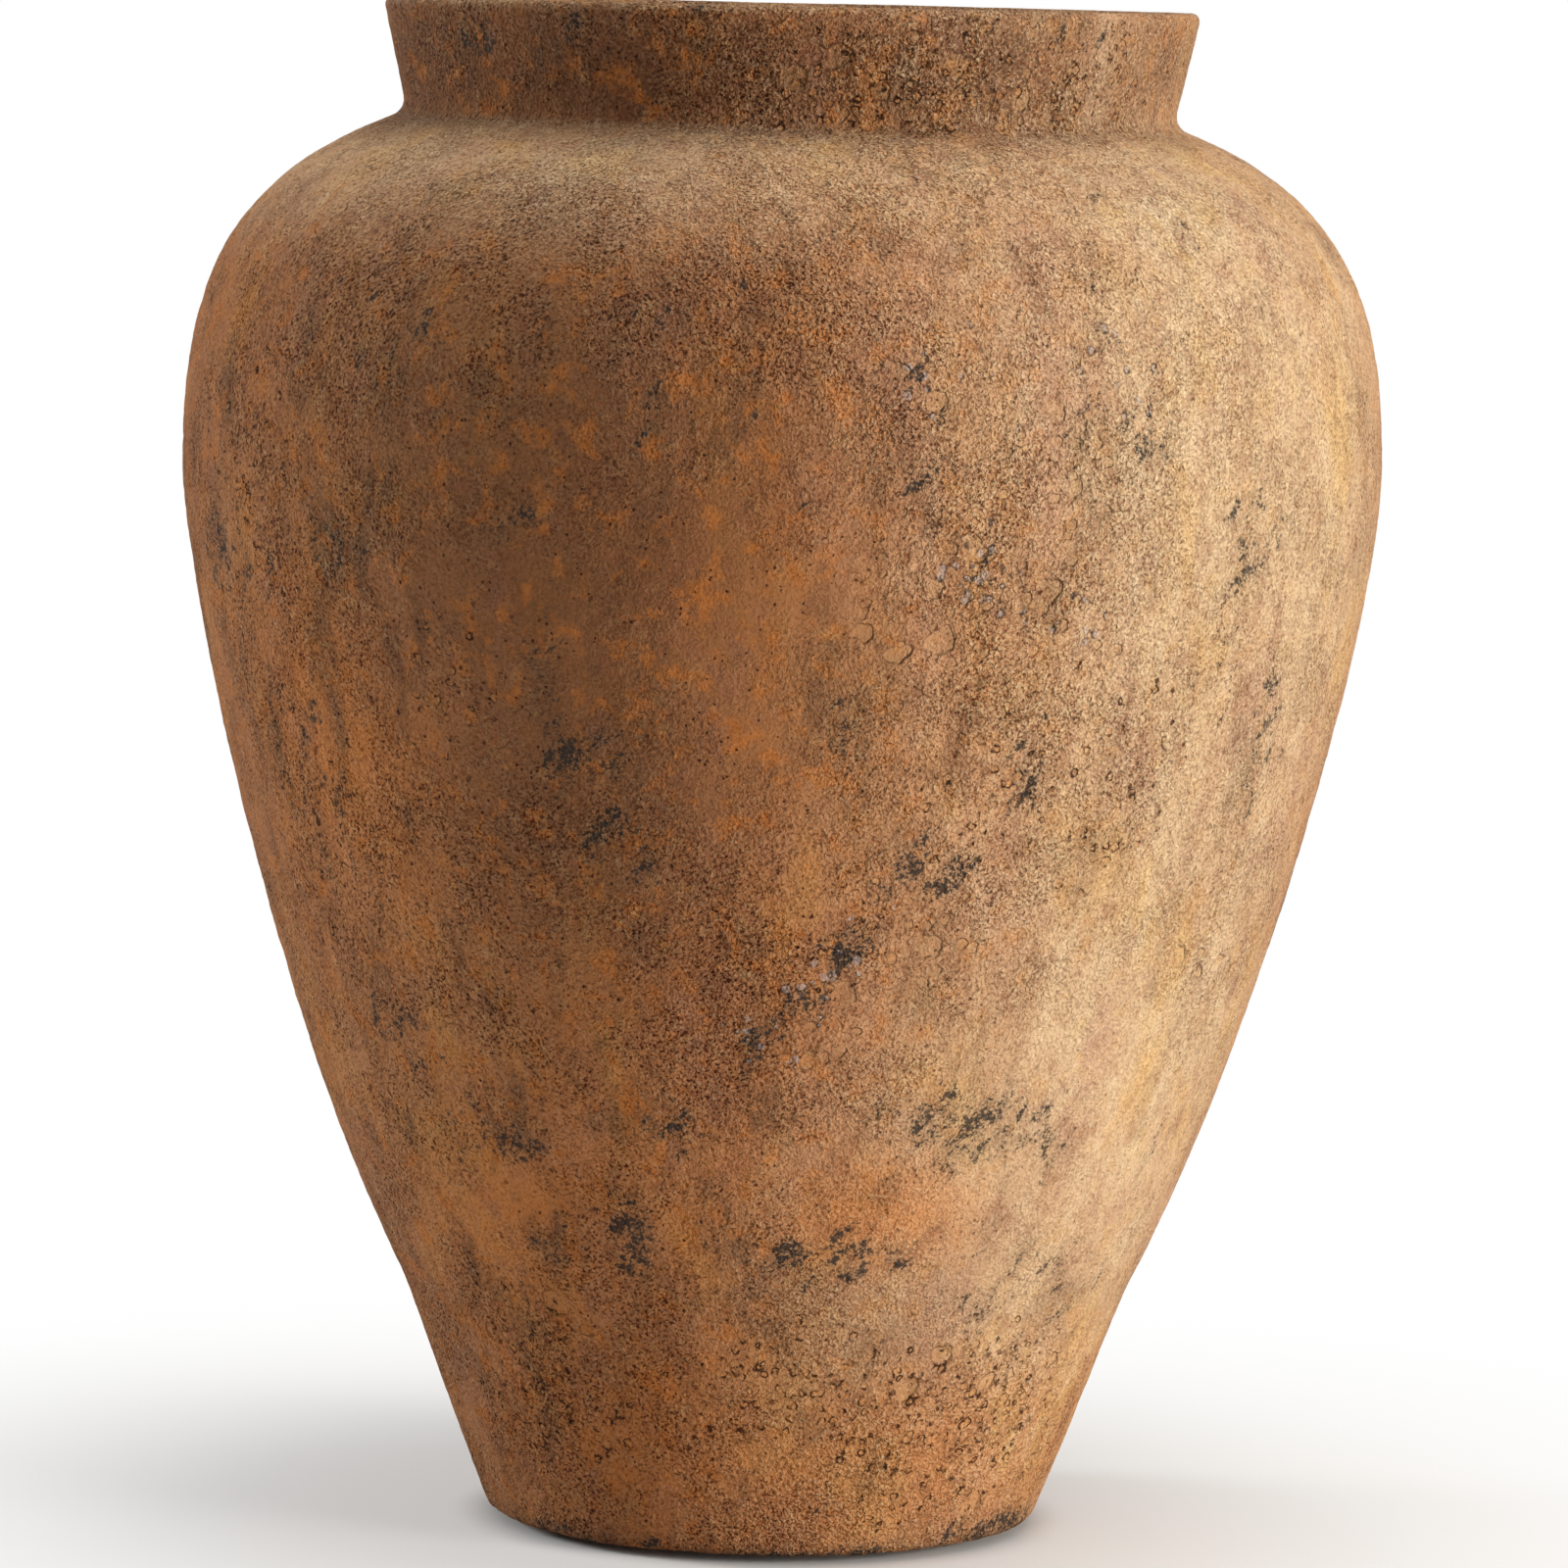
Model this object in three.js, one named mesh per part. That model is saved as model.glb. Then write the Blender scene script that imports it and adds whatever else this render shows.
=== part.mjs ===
// Wide-shouldered terracotta jar vase with a short flared neck.
// Built as a potter builds one this big: a floor slab and thrown wall rings, each ring standing
// on the one below in a lapped seam, with a sealing coat inside and felt pads under the foot.
// Millimetres, +Z up. The origin is on the table, in the middle under the foot.

import * as THREE from 'three';

// Outer line of the jar, from the foot up to the rim
const FOOT_RADIUS = 87;
const FOOT_ROUNDING = 4;
const FOOT_FLARE = THREE.MathUtils.degToRad(22);
const FOOT_PULL = 45;
const WAIST_RISE = 78;
const WAIST_RADIUS = 117.3;
const WAIST_FLARE = THREE.MathUtils.degToRad(25.5);
const WAIST_PULL_DOWN = 15;
const WAIST_PULL_UP = 113;
const BELLY_RISE = 253.4;
const BELLY_RADIUS = 188.6;
const BELLY_PULL_DOWN = 25;
const BELLY_PULL_UP = 46;
const SHOULDER_RISE = 109.2;
const SHOULDER_SLOPE = THREE.MathUtils.degToRad(21);
const SHOULDER_PULL = 60.4;
const NECK_ROOT_FILLET = 5;
const NECK_RISE = 35.4;
const NECK_FLARE_OUT = 7.7;
const RIM_RADIUS = 128.3;
const LIP_ROUNDING = 3;

// Clay thickness
const WALL = 10;
const FLOOR_THICKNESS = 16;
const FLOOR_LEDGE = 10;
const HEEL_HEIGHT = 24;

// Seams between the thrown rings, and the laps that locate them
const FOOT_SEAM_ABOVE_WAIST = 40;
const WAIST_SEAM_BELOW_BELLY = 98;
const LIP_DEPTH = 10;
const LAP = 5;
const SLIP_GAP = 0.3;

// Sealing coat inside
const GLAZE = 1;

// Felt pads under the foot
const PAD_COUNT = 4;
const PAD_RADIUS = 12;
const PAD_THICKNESS = 2;
const PAD_RING_RADIUS = 62;
const PAD_FIRST_ANGLE = THREE.MathUtils.degToRad(45);

// Facets
const RING_FACETS = 40;
const PAD_FACETS = 20;
const ROUNDING_STEPS = 3;
const HEIGHT_SEARCH_STEPS = 60;

// Heights worked out from the sizes above
const underside = PAD_THICKNESS;
const floorSeam = underside + FLOOR_LEDGE;
const floorTop = underside + FLOOR_THICKNESS;
const heelTop = floorTop + HEEL_HEIGHT;
const waistHeight = underside + WAIST_RISE;
const bellyHeight = waistHeight + BELLY_RISE;
const neckRootHeight = bellyHeight + SHOULDER_RISE;
const rimHeight = neckRootHeight + NECK_RISE;
const footSeam = waistHeight + FOOT_SEAM_ABOVE_WAIST;
const waistSeam = bellyHeight - WAIST_SEAM_BELOW_BELLY;
const shoulderSeam = bellyHeight;
const neckSeam = neckRootHeight;
const lipSeam = rimHeight - LIP_DEPTH;

// A point or direction in the turned section: x is the radius, y is the height.
function at(radius, height) {
  return new THREE.Vector2(radius, height);
}

function moved(point, direction, distance) {
  return point.clone().addScaledVector(direction, distance);
}

// Unit direction that leans outwards from straight up by an angle.
function leaning(angle) {
  return at(Math.sin(angle), Math.cos(angle));
}

const footRun = leaning(FOOT_FLARE);
const waistRun = leaning(WAIST_FLARE);
const shoulderRun = at(-Math.cos(SHOULDER_SLOPE), Math.sin(SHOULDER_SLOPE));
const neckRun = at(NECK_FLARE_OUT, NECK_RISE).normalize();
const up = at(0, 1);
const outwards = at(1, 0);
const inwards = at(-1, 0);

// Arc that rounds the corner where one straight run turns into another.
function roundedCorner(corner, arriving, leaving, radius) {
  const side = Math.sign(arriving.cross(leaving));
  const setback = radius * Math.tan(Math.acos(arriving.dot(leaving)) / 2);
  const start = moved(corner, arriving, -setback);
  const end = moved(corner, leaving, setback);
  const centre = moved(start, at(-arriving.y * side, arriving.x * side), radius);
  const startAngle = start.clone().sub(centre).angle();
  const endAngle = end.clone().sub(centre).angle();
  const curve = new THREE.EllipseCurve(
    centre.x, centre.y, radius, radius, startAngle, endAngle, side < 0,
  );
  return { start, end, curve };
}

// The outer line as one path: lower body, belly, shoulder, root fillet and straight neck.
function outerLine() {
  const foot = at(FOOT_RADIUS, underside);
  const waist = at(WAIST_RADIUS, waistHeight);
  const belly = at(BELLY_RADIUS, bellyHeight);
  const neckRoot = at(RIM_RADIUS - NECK_FLARE_OUT, neckRootHeight);
  const fillet = roundedCorner(neckRoot, shoulderRun, neckRun, NECK_ROOT_FILLET);
  const shoulderEnd = fillet.start;
  const line = new THREE.CurvePath();
  const bend = (from, leavingPull, arrivingPull, to) => {
    line.add(new THREE.CubicBezierCurve(from, leavingPull, arrivingPull, to));
  };
  bend(foot, moved(foot, footRun, FOOT_PULL), moved(waist, waistRun, -WAIST_PULL_DOWN), waist);
  bend(waist, moved(waist, waistRun, WAIST_PULL_UP), moved(belly, up, -BELLY_PULL_DOWN), belly);
  const shoulderPull = moved(shoulderEnd, shoulderRun, -SHOULDER_PULL);
  bend(belly, moved(belly, up, BELLY_PULL_UP), shoulderPull, shoulderEnd);
  line.add(fillet.curve);
  line.add(new THREE.LineCurve(fillet.end, at(RIM_RADIUS, rimHeight)));
  return line;
}

const outline = outerLine();

// Point in the wall: a share of the way along the outer line, and a depth into the clay.
function inWall(share, depth) {
  const point = outline.getPoint(share);
  const run = outline.getTangent(share);
  return at(point.x - run.y * depth, point.y + run.x * depth);
}

// Share of the outer line at which the surface at a depth reaches a height.
function shareAtHeight(height, depth) {
  let below = 0;
  let above = 1;
  for (let step = 0; step < HEIGHT_SEARCH_STEPS; step += 1) {
    const middle = (below + above) / 2;
    if (inWall(middle, depth).y < height) {
      below = middle;
    } else {
      above = middle;
    }
  }
  return above;
}

// Shares spread evenly along the surface at a depth, from one height up to another.
function sharesBetween(fromHeight, toHeight, depth, steps) {
  const from = shareAtHeight(fromHeight, depth);
  const to = shareAtHeight(toHeight, depth);
  return Array.from({ length: steps + 1 }, (_, step) => THREE.MathUtils.lerp(from, to, step / steps));
}

function radiusAtHeight(height, depth) {
  return inWall(shareAtHeight(height, depth), depth).x;
}

// Middle of the clay at a seam, where the tongue of one ring laps the next.
function lapRadius(seam) {
  return (radiusAtHeight(seam, 0) + radiusAtHeight(seam, WALL)) / 2;
}

// Points along the surface at a depth, with its two ends at exactly the heights asked for.
function surfacePoints(shares, depth, fromHeight, toHeight) {
  const points = shares.map((share) => inWall(share, depth));
  points[0].y = fromHeight;
  points[points.length - 1].y = toHeight;
  return points;
}

// Rebate in the top of a ring, which takes the tongue of the ring above.
function rebate(seam) {
  const radius = lapRadius(seam) + SLIP_GAP / 2;
  return [at(radius, seam), at(radius, seam - LAP)];
}

// Tongue under a ring, which drops into the rebate of the ring below.
function tongue(seam) {
  const radius = lapRadius(seam) - SLIP_GAP / 2;
  return [at(radius, seam - LAP + SLIP_GAP), at(radius, seam)];
}

// The thrown wall rings, from the bottom up. Each one's inner face starts where its tongue ends.
const rings = [
  { name: 'foot_wall', bottom: floorSeam, top: footSeam, inner: heelTop, steps: 4, colour: 0x9a6546 },
  { name: 'waist_wall', bottom: footSeam, top: waistSeam, steps: 4, colour: 0xa36d4a },
  { name: 'belly_wall', bottom: waistSeam, top: shoulderSeam, steps: 4, colour: 0xab7550 },
  { name: 'shoulder_wall', bottom: shoulderSeam, top: neckSeam, steps: 10, colour: 0xb27d57 },
  { name: 'neck_collar', bottom: neckSeam, top: lipSeam, steps: 5, colour: 0xa8734f },
];
for (const ring of rings) {
  ring.inner ??= ring.bottom - LAP + SLIP_GAP;
  ring.innerShares = sharesBetween(ring.inner, ring.top - LAP, WALL, ring.steps);
}

// The thickened heel inside, where the first ring stands on the floor around its plug
const heelRadius = radiusAtHeight(floorSeam, WALL);
const heelRun = at(radiusAtHeight(heelTop, WALL) - heelRadius, HEEL_HEIGHT).normalize();

function heelPoint(height, depth) {
  return at(heelRadius + ((height - floorTop) * heelRun.x - depth) / heelRun.y, height);
}

function ringSection(ring) {
  const outerShares = sharesBetween(ring.bottom, ring.top, 0, ring.steps);
  const outerFace = surfacePoints(outerShares, 0, ring.bottom, ring.top);
  const innerFace = surfacePoints(ring.innerShares, WALL, ring.inner, ring.top - LAP);
  const foundation = ring.bottom === floorSeam
    ? [at(heelRadius, floorTop), at(heelRadius, floorSeam)]
    : tongue(ring.bottom);
  return [...outerFace, ...rebate(ring.top), ...innerFace.reverse(), ...foundation];
}

function floorSection() {
  const edge = roundedCorner(at(FOOT_RADIUS, underside), outwards, footRun, FOOT_ROUNDING);
  const plugRadius = heelRadius - SLIP_GAP;
  return [
    at(0, underside),
    ...edge.curve.getPoints(ROUNDING_STEPS),
    at(radiusAtHeight(floorSeam, 0), floorSeam),
    at(plugRadius, floorSeam),
    at(plugRadius, floorTop),
    at(0, floorTop),
  ];
}

function lipSection() {
  const outerCorner = at(RIM_RADIUS, rimHeight);
  const innerCorner = moved(outerCorner, inwards, WALL / neckRun.y);
  const downNeck = neckRun.clone().negate();
  const tongueFoot = lipSeam - LAP + SLIP_GAP;
  return [
    at(radiusAtHeight(lipSeam, 0), lipSeam),
    ...roundedCorner(outerCorner, neckRun, inwards, LIP_ROUNDING).curve.getPoints(ROUNDING_STEPS),
    ...roundedCorner(innerCorner, inwards, downNeck, LIP_ROUNDING).curve.getPoints(ROUNDING_STEPS),
    at(radiusAtHeight(tongueFoot, WALL), tongueFoot),
    ...tongue(lipSeam),
  ];
}

// The coat lies on the floor and follows the inside of the wall rings up to the lip's tongue.
function glazeSection() {
  const back = WALL + SLIP_GAP;
  const front = back + GLAZE;
  const coatTop = lipSeam - LAP;
  const shares = rings.flatMap((ring) => ring.innerShares.slice(0, -1));
  const face = (depth) => [
    ...shares.map((share) => inWall(share, depth)),
    at(radiusAtHeight(coatTop, depth), coatTop),
  ];
  return [
    at(0, floorTop),
    heelPoint(floorTop, SLIP_GAP),
    ...face(back),
    ...face(front).reverse(),
    heelPoint(floorTop + GLAZE, SLIP_GAP + GLAZE),
    at(0, floorTop + GLAZE),
  ];
}

// A section turned about the vertical axis. A section that is clear of the axis closes on itself.
function turned(name, section, material) {
  const clearOfAxis = section[0].x > 0;
  const loop = clearOfAxis ? [...section, section[0]] : section;
  const geometry = new THREE.LatheGeometry(loop, RING_FACETS).rotateX(Math.PI / 2);
  const mesh = new THREE.Mesh(geometry, new THREE.MeshStandardMaterial(material));
  mesh.name = name;
  return mesh;
}

function bareClay(colour) {
  return { color: colour, roughness: 0.95, metalness: 0 };
}

function feltPad(index) {
  const angle = PAD_FIRST_ANGLE + (2 * Math.PI * index) / PAD_COUNT;
  const geometry = new THREE.CylinderGeometry(PAD_RADIUS, PAD_RADIUS, PAD_THICKNESS, PAD_FACETS)
    .rotateX(Math.PI / 2)
    .translate(PAD_RING_RADIUS * Math.cos(angle), PAD_RING_RADIUS * Math.sin(angle), PAD_THICKNESS / 2);
  const felt = new THREE.MeshStandardMaterial({ color: 0x3b352f, roughness: 1, metalness: 0 });
  const mesh = new THREE.Mesh(geometry, felt);
  mesh.name = `felt_pad_${index + 1}`;
  return mesh;
}

const vase = new THREE.Group();
vase.name = 'jar_vase';
vase.add(turned('floor_disc', floorSection(), bareClay(0x8c5a3f)));
for (const ring of rings) {
  vase.add(turned(ring.name, ringSection(ring), bareClay(ring.colour)));
}
vase.add(turned('rim_lip', lipSection(), bareClay(0xb48560)));
vase.add(turned('inner_glaze', glazeSection(), { color: 0x6b4633, roughness: 0.4, metalness: 0 }));
for (let index = 0; index < PAD_COUNT; index += 1) {
  vase.add(feltPad(index));
}

export default vase;
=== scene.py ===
"""Looks of a weathered terracotta jar vase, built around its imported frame.

Every thrown ring, the floor slab and the lip get a fine closed clay skin. One relief of waves, lumps,
blisters and pits runs over all of them, so the luted seams don't show, and the clay's colours read the
same fields. Metres, +Z up; -Y faces the viewer and +X is on the viewer's right.
"""

import math
from types import SimpleNamespace
from typing import NamedTuple

import bpy
import numpy as np
from mathutils import Matrix, Vector


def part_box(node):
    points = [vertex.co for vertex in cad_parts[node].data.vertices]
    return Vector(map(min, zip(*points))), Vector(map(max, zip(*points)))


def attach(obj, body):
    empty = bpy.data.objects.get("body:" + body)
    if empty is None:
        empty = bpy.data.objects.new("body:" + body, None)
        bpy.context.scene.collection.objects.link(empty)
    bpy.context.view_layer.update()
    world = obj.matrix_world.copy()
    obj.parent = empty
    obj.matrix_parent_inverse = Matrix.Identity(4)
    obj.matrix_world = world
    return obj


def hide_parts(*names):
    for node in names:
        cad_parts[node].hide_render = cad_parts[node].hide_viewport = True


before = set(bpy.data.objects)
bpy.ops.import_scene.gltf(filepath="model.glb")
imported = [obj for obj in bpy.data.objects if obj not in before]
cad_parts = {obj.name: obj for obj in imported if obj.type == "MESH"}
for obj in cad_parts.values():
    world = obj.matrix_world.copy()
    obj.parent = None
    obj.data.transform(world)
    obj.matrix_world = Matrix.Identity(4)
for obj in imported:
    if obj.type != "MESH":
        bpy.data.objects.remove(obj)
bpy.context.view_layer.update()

MM = 0.001

# Outer line of the jar, as the solids have it
FOOT_RADIUS = 87 * MM
FOOT_ROUNDING = 4 * MM
FOOT_FLARE = math.radians(22)
FOOT_PULL = 45 * MM
WAIST_RISE = 78 * MM
WAIST_RADIUS = 117.3 * MM
WAIST_FLARE = math.radians(25.5)
WAIST_PULL_DOWN = 15 * MM
WAIST_PULL_UP = 113 * MM
BELLY_RISE = 253.4 * MM
BELLY_RADIUS = 188.6 * MM
BELLY_PULL_DOWN = 25 * MM
BELLY_PULL_UP = 46 * MM
SHOULDER_RISE = 109.2 * MM
SHOULDER_SLOPE = math.radians(21)
SHOULDER_PULL = 60.4 * MM
NECK_ROOT_FILLET = 5 * MM
NECK_RISE = 35.4 * MM
NECK_FLARE_OUT = 7.7 * MM
RIM_RADIUS = 128.3 * MM
LIP_ROUNDING = 3 * MM

# Clay thickness, laps and lining, as the solids have them
WALL = 10 * MM
LAP = 5 * MM
SLIP_GAP = 0.3 * MM
GLAZE = 1 * MM
HEEL_HEIGHT = 24 * MM

# Fineness of the modelled skins
RING_SEGMENTS = 840
CLAY_SPACING = 1.5 * MM
SLAB_SPACING = 5 * MM
HIDDEN_SPACING = 12 * MM
GLAZE_SEGMENTS = 320
GLAZE_SPACING = 3 * MM
PAD_SEGMENTS = 48
PAD_ROUNDING = 0.5 * MM
FIBRE_LENGTH = 0.5 * MM

# Relief on the clay: how deep it is, how broad its forms are, which level of them lies on the solid's
# face, and how much of it the top of the lip takes
RELIEF_SIZES = {
    "Waves": 2.2 * MM,
    "Lumps": 0.9 * MM,
    "Grain": 0.5 * MM,
    "Blisters": 0.25 * MM,
    "Pits": 0.5 * MM,
}
WAVE_LENGTH = 110 * MM
LUMP_LENGTH = 14 * MM
GRIT_LENGTH = 3.2 * MM
WAVE_LEVEL = 0.75
LUMP_LEVEL = 0.7
GRIT_LEVEL = 0.6
LIP_TOP_SHARE = 0.4

# Finger ridges in the lining, and fibres on the sides of the felt
RING_SIZES = {"Pitch": 9 * MM, "Ridge": 0.25 * MM}
RING_DRIFT = 80 * MM
FUZZ_SIZES = {"Fibres per square metre": 4e6, "Fibre length": FIBRE_LENGTH, "Fibre radius": 0.04 * MM}
FIBRE_LEAN = 0.5
FIBRE_SEED = 7
LEAN_SEED = 3
SIDE_SLOPE = 0.3

# Burst blisters and pits: how broad their cells are, and how many of these are taken
BLISTER_SIZE = 11 * MM
BLISTER_SHARE = 0.6
BLEB_SIZE = 5 * MM
BLEB_SHARE = 0.5
FROTH_SIZE = 3.4 * MM
FROTH_SHARE = 0.9
FROTH_RAGGED = 0.7
SCAB_SIZE = 3.6 * MM
SCAB_SHARE = 0.7
PIT_SIZE = 4 * MM
PIT_SHARE = 0.3
PIT_CROWD = 42 * MM
PRICK_SIZE = 2.1 * MM
PRICK_SHARE = 0.7
PRICK_CROWD = 15 * MM

# Smallest and largest reach of a blister or a pit, in shares of its cell
BLISTER_REACH = (0.2, 0.46)
PIT_REACH = (0.12, 0.34)

# Where a blister's dark outline starts, is full, fades and stops, in shares of the blister's reach; the
# outline is partly dirt and partly painted shade at the blister's edge
THIN_LINE = (0.84, 0.97, 1.0, 1.12)
THICK_LINE = (0.7, 0.95, 1.1, 1.45)

# How broad the clay's tones, stains, grain and soot are, and how far they are drawn out
PATCH_SIZE = 100 * MM
TONE_SIZE = 34 * MM
DRIFT_SIZE = 30 * MM
COARSE_SIZE = 24 * MM
STAIN_SIZE = 19 * MM
RUN_SIZE = 11 * MM
HUE_SIZE = 9 * MM
MOTTLE_SIZE = 6 * MM
WRINKLE_SIZE = 2.4 * MM
GRAIN_SIZE = 0.95 * MM
SOOT_STREW = 30 * MM
SOOT_CLOUD = 8 * MM
SOOT_FLECK = 1.7 * MM
STAIN_STRETCH = (1.0, 1.0, 0.4)
RUN_STRETCH = (1.0, 1.0, 0.3)
SMEAR_STRETCH = (0.5, 1.0, 1.0)
SMEAR_SLANT = math.radians(50)

# Dust: how much of it lies on the clay and on the lining, and how unevenly, which also sets how unevenly the
# painted light of the lit side lies
CLAY_DUST = 0.75
GLAZE_DUST = 0.5
DUST_PATCH = 30 * MM
THINNEST_DUST = 0.72

# Camera, from the photograph's frame
FRAME_PIXELS = 1600
FOCAL_PIXELS = 8260
SENSOR_MM = 36
CAMERA_PLACE = Vector((0, -2540 * MM, 487.7 * MM))
AIM_POINT = Vector((2.65 * MM, 0, 233.0 * MM))
CAMERA_ROLL = math.radians(1.3)

# Floor: half its size, the dark ring under the foot, and how its white comes up around it
FLOOR_REACH = 6.0
CONTACT_INNER = 78 * MM
CONTACT_OUTER = 100 * MM
WHITE_FROM = 450 * MM
NEAR_WHITE = 0.35

# Light from all round, and the lamps
AMBIENT_COLOUR = (0.97, 1.0, 1.0, 1.0)
AMBIENT_STRENGTH = 0.18


class Lamp(NamedTuple):
    """A soft square lamp: place and size in metres, power in watts, colour."""

    place: tuple
    size: float
    power: float
    colour: tuple


LAMPS = {
    "key_right": Lamp((1.94, -1.14, 0.48), 0.8, 46.5, (1.0, 0.97, 0.93)),
    "overhead": Lamp((0.3, -0.1, 2.0), 1.2, 23.5, (1.0, 0.98, 0.95)),
    "fill_left": Lamp((-1.93, 0.5, 0.75), 0.5, 21.5, (0.9, 0.97, 1.0)),
}
LAMP_AIM = (0.0, 0.0, 0.26)


class Mark(NamedTuple):
    """A soft oval on the wall, by an angle to the right of the front.

    Angle and tilt are in degrees, height and half sizes in millimetres.
    """

    angle: float
    height: float
    across: float
    tall: float
    tilt: float = 0.0
    strength: float = 1.0


# Where a mark has faded out, in its half sizes
MARK_END = 1.4

MARKS = {
    # Soot; its ovals 2 to 5 mm above the underside also paint the dark contact shadow where the foot meets
    # the floor.
    "soot": [
        Mark(-51, 468, 26, 11), Mark(-31, 471, 9, 7), Mark(44, 472, 26, 7), Mark(-23, 280, 10, 14),
        Mark(-18, 256, 20, 14, 0, 1.2), Mark(-15, 231, 14, 18, 0, 1.2), Mark(7, 261, 9, 26),
        Mark(16, 227, 24, 12, 20, 1.2), Mark(19, 316, 9, 12), Mark(-38, 378, 26, 16),
        Mark(-13, 361, 9, 20), Mark(25, 142, 34, 16, 15, 1.35), Mark(58, 128, 14, 22, 25),
        Mark(46, 92, 30, 14, 15), Mark(-19, 107, 9, 20, 0, 1.3), Mark(37, 86, 40, 24, 0, 0.7),
        Mark(55, 5, 40, 7, 0, 1.4), Mark(-65, 309, 30, 16), Mark(-45, 312, 22, 10),
        Mark(-25, 324, 14, 12), Mark(12, 350, 60, 26, 0, 0.6), Mark(41, 417, 30, 16, 0, 0.7),
        Mark(33, 362, 26, 40, 0, 0.8), Mark(48, 308, 18, 40, 10), Mark(25, 257, 12, 22),
        Mark(9, 103, 40, 12, 0, 1.25), Mark(-37, 134, 26, 12, 0, 1.2), Mark(-48, 164, 26, 20, 30),
        Mark(-11, 143, 20, 12), Mark(57, 259, 16, 30), Mark(-45, 4, 60, 5), Mark(10, 2, 60, 4, 0, 1.3),
        Mark(6, 192, 8, 40, 35), Mark(-1, 168, 14, 10, 35), Mark(-8, 390, 50, 14, 0, 0.7),
        Mark(-55, 240, 20, 40, 0, 0.7), Mark(-30, 100, 30, 16, 0, 0.7),
    ],
    "blister": [
        Mark(16, 457, 34, 18), Mark(45, 458, 34, 16, 0, 0.6), Mark(22, 430, 54, 16),
        Mark(27, 345, 24, 17), Mark(20, 298, 42, 30), Mark(-38, 66, 30, 24),
        Mark(45, 47, 44, 30, 0, 0.7), Mark(11, 365, 16, 18), Mark(5, 175, 16, 12),
        Mark(-11, 98, 13, 12), Mark(17, 203, 17, 18), Mark(58, 196, 20, 18),
    ],
    "froth": [
        Mark(-40, 50, 26, 20), Mark(2, 58, 30, 22), Mark(36, 46, 40, 30), Mark(19, 459, 40, 15),
        Mark(8, 452, 30, 14), Mark(-39, 74, 16, 14), Mark(45, 456, 30, 14, 0, 0.8),
        Mark(8, 203, 12, 18, 30), Mark(-34, 275, 20, 20, 0, 0.6), Mark(-55, 225, 24, 40, 0, 0.7),
        Mark(-58, 330, 24, 40, 0, 0.7), Mark(30, 250, 40, 30, 0, 0.5),
    ],
    "crust": [
        Mark(6, 192, 9, 30, 35), Mark(0, 170, 14, 9, 35), Mark(18, 314, 10, 14), Mark(28, 298, 14, 8),
        Mark(14, 372, 14, 14, 0, 0.6), Mark(33, 372, 16, 16, 0, 0.6),
    ],
    # Painted light: ovals where the clay is painted paler as the lamps light it, on the right side from foot
    # to neck, and a painted highlight round the lip's top.
    "bloom": [
        Mark(52, 350, 125, 190), Mark(50, 160, 95, 200), Mark(60, 460, 80, 30, 0, 0.35),
        Mark(0, 478, 600, 2.5, 0, 0.6), Mark(52, 50, 40, 45, 0, 1.2), Mark(45, 415, 60, 25, 0, 1.2),
    ],
    # Smoky darkening, partly painted shade: the neck painted darker where it leans out from the light, a
    # painted shadow line under the neck's flare at its root, a painted contact shadow along the foot, and a
    # darker front-left of the body.
    "smoke": [
        Mark(-20, 330, 85, 80, 0, 1.25), Mark(-18, 255, 55, 70, 0, 1.25),
        Mark(-22, 458, 75, 28, 0, 1.5), Mark(5, 458, 60, 28, 0, 1.3), Mark(-65, 458, 70, 28, 0, 1.5),
        Mark(22, 458, 60, 28, 0, 1.2), Mark(60, 458, 60, 28, 0, 0.75), Mark(-5, 462, 30, 18, 0, 1.5),
        Mark(-30, 400, 70, 30, 0, 0.6), Mark(0, 290, 40, 60, 0, 0.7), Mark(-12, 444, 140, 6),
        Mark(40, 444, 70, 5), Mark(18, 443, 40, 4, 0, 1.4), Mark(-80, 444, 90, 5, 0, 0.8),
        Mark(0, 2, 130, 5), Mark(2, 60, 60, 60, 0, 0.35),
    ],
    "rust": [
        Mark(-48, 255, 40, 55), Mark(-15, 40, 60, 40, 0, 0.8), Mark(20, 30, 60, 35),
        Mark(45, 34, 70, 36), Mark(15, 115, 30, 20), Mark(-30, 110, 40, 40, 0, 0.7),
        Mark(10, 300, 60, 60, 0, 0.3),
    ],
    "worn": [
        Mark(-20, 300, 60, 60), Mark(-4, 290, 50, 70), Mark(-35, 120, 30, 30, 0, 0.6),
        Mark(42, 120, 90, 90, 0, 0.7), Mark(18, 70, 50, 50, 0, 0.4),
    ],
}


# Turned sections


def unit(x, y):
    return np.array([x, y]) / math.hypot(x, y)


INWARDS = unit(-1, 0)
OUTWARDS = unit(1, 0)
UP = unit(0, 1)
FOOT_RUN = unit(math.sin(FOOT_FLARE), math.cos(FOOT_FLARE))
WAIST_RUN = unit(math.sin(WAIST_FLARE), math.cos(WAIST_FLARE))
SHOULDER_RUN = unit(-math.cos(SHOULDER_SLOPE), math.sin(SHOULDER_SLOPE))
NECK_RUN = unit(NECK_FLARE_OUT, NECK_RISE)


def bezier(start, pull_out, pull_in, end, count=500):
    t = np.linspace(0, 1, count)[:, None]
    rest = 1 - t
    return rest**3 * start + 3 * rest**2 * t * pull_out + 3 * rest * t**2 * pull_in + t**3 * end


def rounded_corner(corner_point, arriving, leaving, radius, count=10):
    """Points of the arc that rounds the corner where one straight run turns into another."""
    side = math.copysign(1, arriving[0] * leaving[1] - arriving[1] * leaving[0])
    turn = math.acos(float(arriving @ leaving))
    start = corner_point - arriving * radius * math.tan(turn / 2)
    across = side * np.array([-arriving[1], arriving[0]])
    swept = np.linspace(0, turn, count)[:, None]
    return start + radius * (np.sin(swept) * arriving + (1 - np.cos(swept)) * across)


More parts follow.
